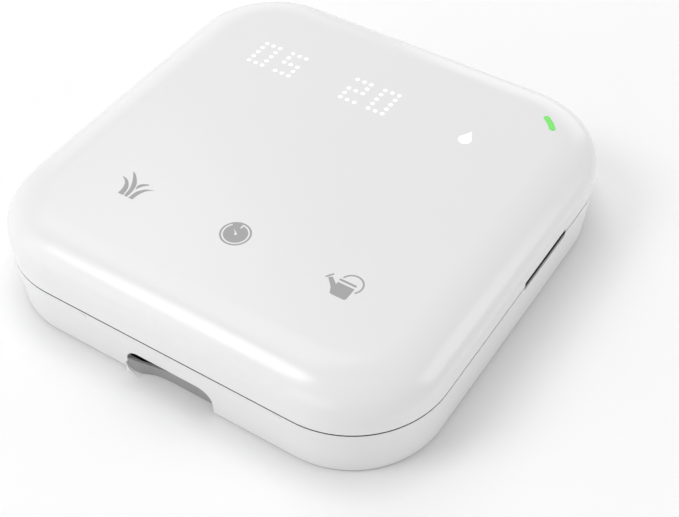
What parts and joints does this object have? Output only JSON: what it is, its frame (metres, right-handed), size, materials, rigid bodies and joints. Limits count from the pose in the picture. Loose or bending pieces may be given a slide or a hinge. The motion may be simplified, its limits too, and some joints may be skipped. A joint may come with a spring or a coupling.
{
  "type": "smart irrigation controller",
  "caption": "Square wall irrigation controller: soft-edged pull-off cover with lit digits, touch icons and a curved status light, over a base with push-in terminals and a cable notch.",
  "frame": {"origin": "middle of the back face, which lies against the wall or on a table", "axes": "+Z out of the front face, +Y up the wall, +X to the right of the display"},
  "size_m": [0.15, 0.15, 0.0355],
  "materials": {
    "cover_white": "fine satin moulded white plastic",
    "base_white": "fine satin moulded white plastic",
    "board_green": "solder-masked glass-fibre board",
    "screw_steel": "zinc-plated steel",
    "terminal_grey": "moulded nylon",
    "tab_orange": "moulded nylon",
    "black_case": "moulded epoxy or nylon",
    "varistor_blue": "dipped epoxy",
    "capacitor_sleeve": "shrunk sleeve over an aluminium can",
    "shield_steel": "tin-plated or bright steel",
    "fuse_glass": "glass tube with plated caps",
    "pin_brass": "gold-flashed brass",
    "plunger_black": "moulded nylon",
    "light_white": "light-emitting chips",
    "status_green": "clear acrylic lit green",
    "foam_black": "conductive foam"
  },
  "bodies": {
    "base": {"base_housing": "base_white", "board_header": "black_case", "bridge_rectifier": "black_case", "cell_holder": "black_case", "clock_cell": "shield_steel", "controller_chip": "black_case", "filter_capacitor_1": "capacitor_sleeve", "filter_capacitor_2": "capacitor_sleeve", "fuse": "fuse_glass", "fuse_clip_1": "shield_steel", "fuse_clip_2": "shield_steel", "header_pins": "pin_brass", "main_board": "board_green", "main_board_screw_1": "screw_steel", "main_board_screw_2": "screw_steel", "main_board_screw_3": "screw_steel", "main_board_screw_4": "screw_steel", "power_inductor": "black_case", "radio_board": "board_green", "radio_shield": "shield_steel", "reset_switch": "black_case", "terminal_block": "terminal_grey", "triac_1": "black_case", "triac_2": "black_case", "triac_3": "black_case", "triac_4": "black_case", "triac_5": "black_case", "triac_6": "black_case", "varistor": "varistor_blue"},
    "cover": {"board_socket": "black_case", "digit_leds_1": "light_white", "digit_leds_2": "light_white", "digit_leds_3": "light_white", "digit_leds_4": "light_white", "display_board": "board_green", "display_board_screw_1": "screw_steel", "display_board_screw_2": "screw_steel", "display_board_screw_3": "screw_steel", "display_board_screw_4": "screw_steel", "display_chip": "black_case", "drop_led": "light_white", "drop_tube": "black_case", "front_cover": "cover_white", "light_grid": "black_case", "status_led": "light_white", "status_light_pipe": "status_green", "touch_pad_1": "foam_black", "touch_pad_2": "foam_black", "touch_pad_3": "foam_black"},
    "tab_1": {"terminal_tab_1": "tab_orange"},
    "tab_2": {"terminal_tab_2": "tab_orange"},
    "tab_3": {"terminal_tab_3": "tab_orange"},
    "tab_4": {"terminal_tab_4": "tab_orange"},
    "tab_5": {"terminal_tab_5": "tab_orange"},
    "tab_6": {"terminal_tab_6": "tab_orange"},
    "tab_7": {"terminal_tab_7": "tab_orange"},
    "tab_8": {"terminal_tab_8": "tab_orange"},
    "reset": {"reset_plunger": "plunger_black"}
  },
  "joints": [
    {"name": "cover_lift", "type": "slide", "parent": "base", "child": "cover", "axis": [0, 0, 1], "range_m": [0, 0.05]},
    {"name": "tab_1_press", "type": "slide", "parent": "base", "child": "tab_1", "axis": [0, 0, -1], "range_m": [0, 0.0015], "stiffness_N_per_m": 400, "springref_m": -0.0005},
    {"name": "tab_2_press", "type": "slide", "parent": "base", "child": "tab_2", "axis": [0, 0, -1], "range_m": [0, 0.0015], "stiffness_N_per_m": 400, "springref_m": -0.0005},
    {"name": "tab_3_press", "type": "slide", "parent": "base", "child": "tab_3", "axis": [0, 0, -1], "range_m": [0, 0.0015], "stiffness_N_per_m": 400, "springref_m": -0.0005},
    {"name": "tab_4_press", "type": "slide", "parent": "base", "child": "tab_4", "axis": [0, 0, -1], "range_m": [0, 0.0015], "stiffness_N_per_m": 400, "springref_m": -0.0005},
    {"name": "tab_5_press", "type": "slide", "parent": "base", "child": "tab_5", "axis": [0, 0, -1], "range_m": [0, 0.0015], "stiffness_N_per_m": 400, "springref_m": -0.0005},
    {"name": "tab_6_press", "type": "slide", "parent": "base", "child": "tab_6", "axis": [0, 0, -1], "range_m": [0, 0.0015], "stiffness_N_per_m": 400, "springref_m": -0.0005},
    {"name": "tab_7_press", "type": "slide", "parent": "base", "child": "tab_7", "axis": [0, 0, -1], "range_m": [0, 0.0015], "stiffness_N_per_m": 400, "springref_m": -0.0005},
    {"name": "tab_8_press", "type": "slide", "parent": "base", "child": "tab_8", "axis": [0, 0, -1], "range_m": [0, 0.0015], "stiffness_N_per_m": 400, "springref_m": -0.0005},
    {"name": "reset_press", "type": "slide", "parent": "base", "child": "reset", "axis": [0, 0, -1], "range_m": [0, 0.0004], "stiffness_N_per_m": 600, "springref_m": -0.0003}
  ]
}
